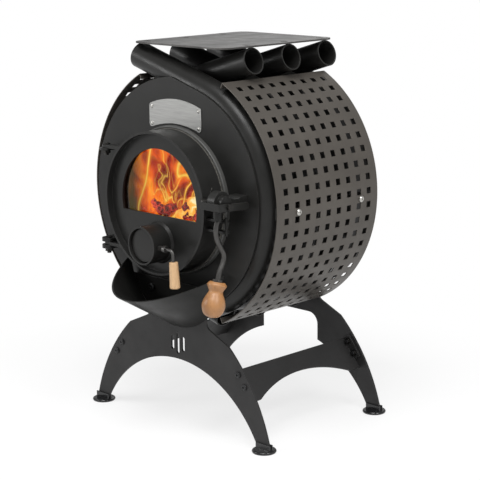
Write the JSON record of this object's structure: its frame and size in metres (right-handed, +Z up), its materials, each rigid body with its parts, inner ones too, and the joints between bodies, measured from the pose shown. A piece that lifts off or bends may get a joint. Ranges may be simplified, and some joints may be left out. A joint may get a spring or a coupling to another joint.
{
  "type": "tent wood stove",
  "caption": "Drum-shaped wood stove with curved air tubes, a round glazed door with an air flap, perforated side guards, a cook plate and a two-plate stand.",
  "frame": {"origin": "on the ground, in the middle of the overall width and of the overall length from the ash scoop tip to the end of the flue collar", "axes": "+Z up, -Y out of the door, +X to the latch side"},
  "size_m": [0.4886, 0.5066, 0.7],
  "materials": {
    "body_black": "heat-resistant matt black paint on rolled and laser-cut steel, slightly warm where the light grazes it",
    "stand_black": "matt charcoal paint on laser-cut plate",
    "screw_black": "blackened button-head screws",
    "bright_steel": "bright zinc and stainless steel",
    "rod_steel": "bent steel rod, dark with handling",
    "foot_enamel": "glossy black enamel on the feet",
    "guard_sheet": "brown-grey metallic coating on perforated sheet",
    "nameplate_steel": "plain brushed blank plate",
    "rope": "braided mineral-fibre rope and tape",
    "glass": "smoked heat-resistant glass ceramic",
    "grip_wood": "turned beech, oiled",
    "flap_wood": "turned pale beech, oiled"
  },
  "bodies": {
    "stove": {"stand_front_plate": "stand_black", "stand_rear_plate": "stand_black", "rail_left": "stand_black", "rail_right": "stand_black", "rail_bolts": "screw_black", "rail_nuts": "bright_steel", "foot_front_left": "foot_enamel", "foot_front_right": "foot_enamel", "foot_rear_left": "foot_enamel", "foot_rear_right": "foot_enamel", "front_plate": "body_black", "rear_plate": "body_black", "tube_right_1": "body_black", "tube_right_2": "body_black", "tube_right_3": "body_black", "tube_left_1": "body_black", "tube_left_2": "body_black", "tube_left_3": "body_black", "shell_right": "body_black", "shell_left": "body_black", "cook_plate": "body_black", "guard_right": "guard_sheet", "guard_left": "guard_sheet", "guard_bars": "body_black", "guard_sleeves": "bright_steel", "guard_screws": "bright_steel", "collar_ring": "body_black", "door_rope": "rope", "ash_scoop": "body_black", "neck_screws": "screw_black", "nameplate": "nameplate_steel", "nameplate_rivets": "bright_steel", "hinge_brackets": "body_black", "keeper_lug": "body_black", "baffle_plate": "body_black", "fire_sill": "body_black", "flue_collar": "body_black", "hinge_pins": "bright_steel"},
    "door": {"door_shell": "body_black", "air_nozzle": "body_black", "door_glass": "glass", "glass_gasket": "rope", "glass_clips": "bright_steel", "clip_screws": "bright_steel", "inner_shield": "body_black", "shield_bolts": "bright_steel", "hinge_straps": "body_black", "latch_axle": "bright_steel", "door_catch": "body_black", "latch_spring": "bright_steel"},
    "strap": {"latch_strap": "body_black"},
    "handle": {"cam_hub": "body_black", "handle_rod": "rod_steel", "handle_grip": "grip_wood"},
    "flap": {"flap_disc": "body_black", "flap_shaft": "rod_steel", "flap_spring": "bright_steel", "flap_grip": "flap_wood"},
    "damper": {"damper_disc": "body_black", "damper_shaft": "rod_steel"}
  },
  "joints": [
    {"name": "door_swing", "type": "hinge", "parent": "stove", "child": "door", "pos_m": [-0.16, -0.14935, 0.423], "axis": [0, 0, -1], "range_deg": [0, 115]},
    {"name": "handle_turn", "type": "hinge", "parent": "door", "child": "handle", "pos_m": [0.165, -0.17735, 0.442], "axis": [-1, 0, 0], "range_deg": [0, 50]},
    {"name": "strap_drop", "type": "hinge", "parent": "door", "child": "strap", "pos_m": [0.165, -0.17735, 0.442], "axis": [-1, 0, 0], "range_deg": [0, 30]},
    {"name": "flap_turn", "type": "hinge", "parent": "door", "child": "flap", "pos_m": [0, -0.20135, 0.352], "axis": [-1, 0, 0], "range_deg": [0, 90]},
    {"name": "damper_turn", "type": "hinge", "parent": "stove", "child": "damper", "pos_m": [0, 0.18535, 0.524], "axis": [1, 0, 0], "range_deg": [0, 90]}
  ],
  "couplings": [
    {"joint": "strap_drop", "follows": "handle_turn", "ratio": 0.6}
  ]
}
